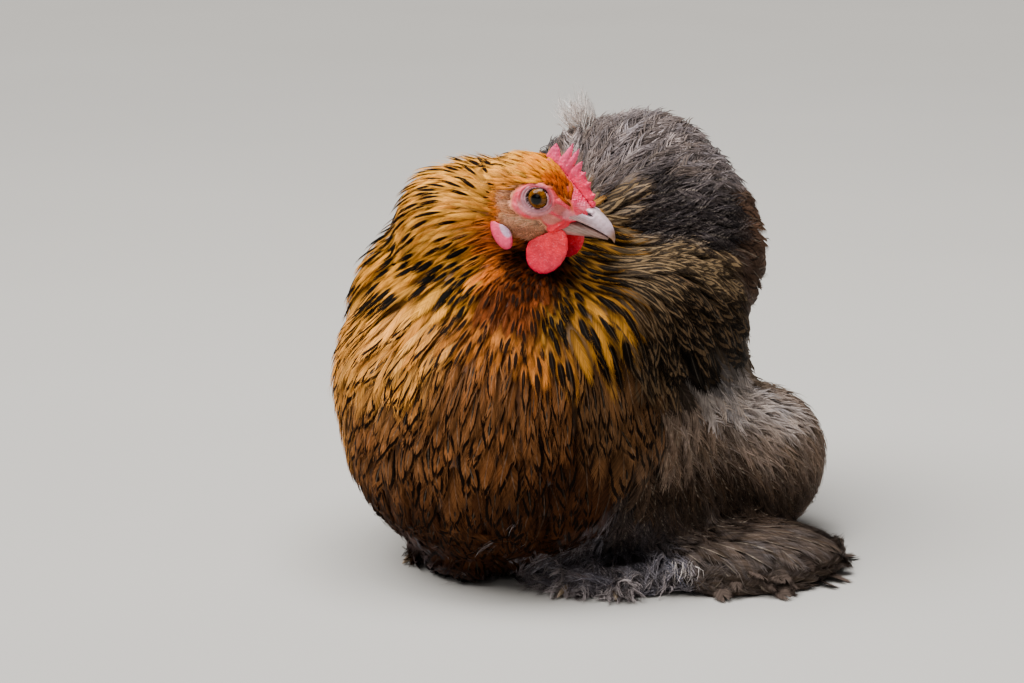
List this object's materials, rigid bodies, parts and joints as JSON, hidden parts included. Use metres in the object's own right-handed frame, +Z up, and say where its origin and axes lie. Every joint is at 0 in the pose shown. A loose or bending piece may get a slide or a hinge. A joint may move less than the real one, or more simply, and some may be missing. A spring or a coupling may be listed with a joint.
{
  "type": "crouching bantam hen model",
  "caption": "Life-size still model of a feather-footed bantam hen, crouching on a floor with her head turned to her left.",
  "frame": {"origin": "on the floor, in the flat under the belly, on the middle plane of the trunk", "axes": "+Z up from the floor; -Y is the way the breast faces; +X is the hen's left side"},
  "size_m": [0.232, 0.2254, 0.1839],
  "materials": {
    "gold_hackle": "soft plumage, orange to gold with black centre stripes",
    "gold_breast": "soft plumage, gold with brown pencilling",
    "brown_plumage": "soft plumage, dark brown with thin buff pencilling",
    "grey_fluff": "matt down and fluff, grey-brown",
    "red_skin": "fine-grained bare red skin",
    "face_skin": "bare pinkish face skin with fine bristles",
    "horn": "satin horn",
    "eye": "wet gloss, amber iris with a black pupil"
  },
  "bodies": {
    "root": {"head": "face_skin", "neck": "gold_hackle", "trunk": "gold_breast", "tail": "brown_plumage", "wing_left": "brown_plumage", "wing_right": "brown_plumage", "leg_left": "grey_fluff", "leg_right": "grey_fluff", "foot_left": "grey_fluff", "foot_right": "grey_fluff", "eye_left": "eye", "eye_right": "eye", "beak_upper": "horn", "beak_lower": "horn", "comb": "red_skin", "wattle_left": "red_skin", "wattle_right": "red_skin", "earlobe_left": "red_skin", "earlobe_right": "red_skin", "claw_left_inner": "horn", "claw_left_middle": "horn", "claw_left_outer": "horn", "claw_left_hind": "horn", "claw_right_inner": "horn", "claw_right_middle": "horn", "claw_right_outer": "horn", "claw_right_hind": "horn"}
  },
  "joints": []
}
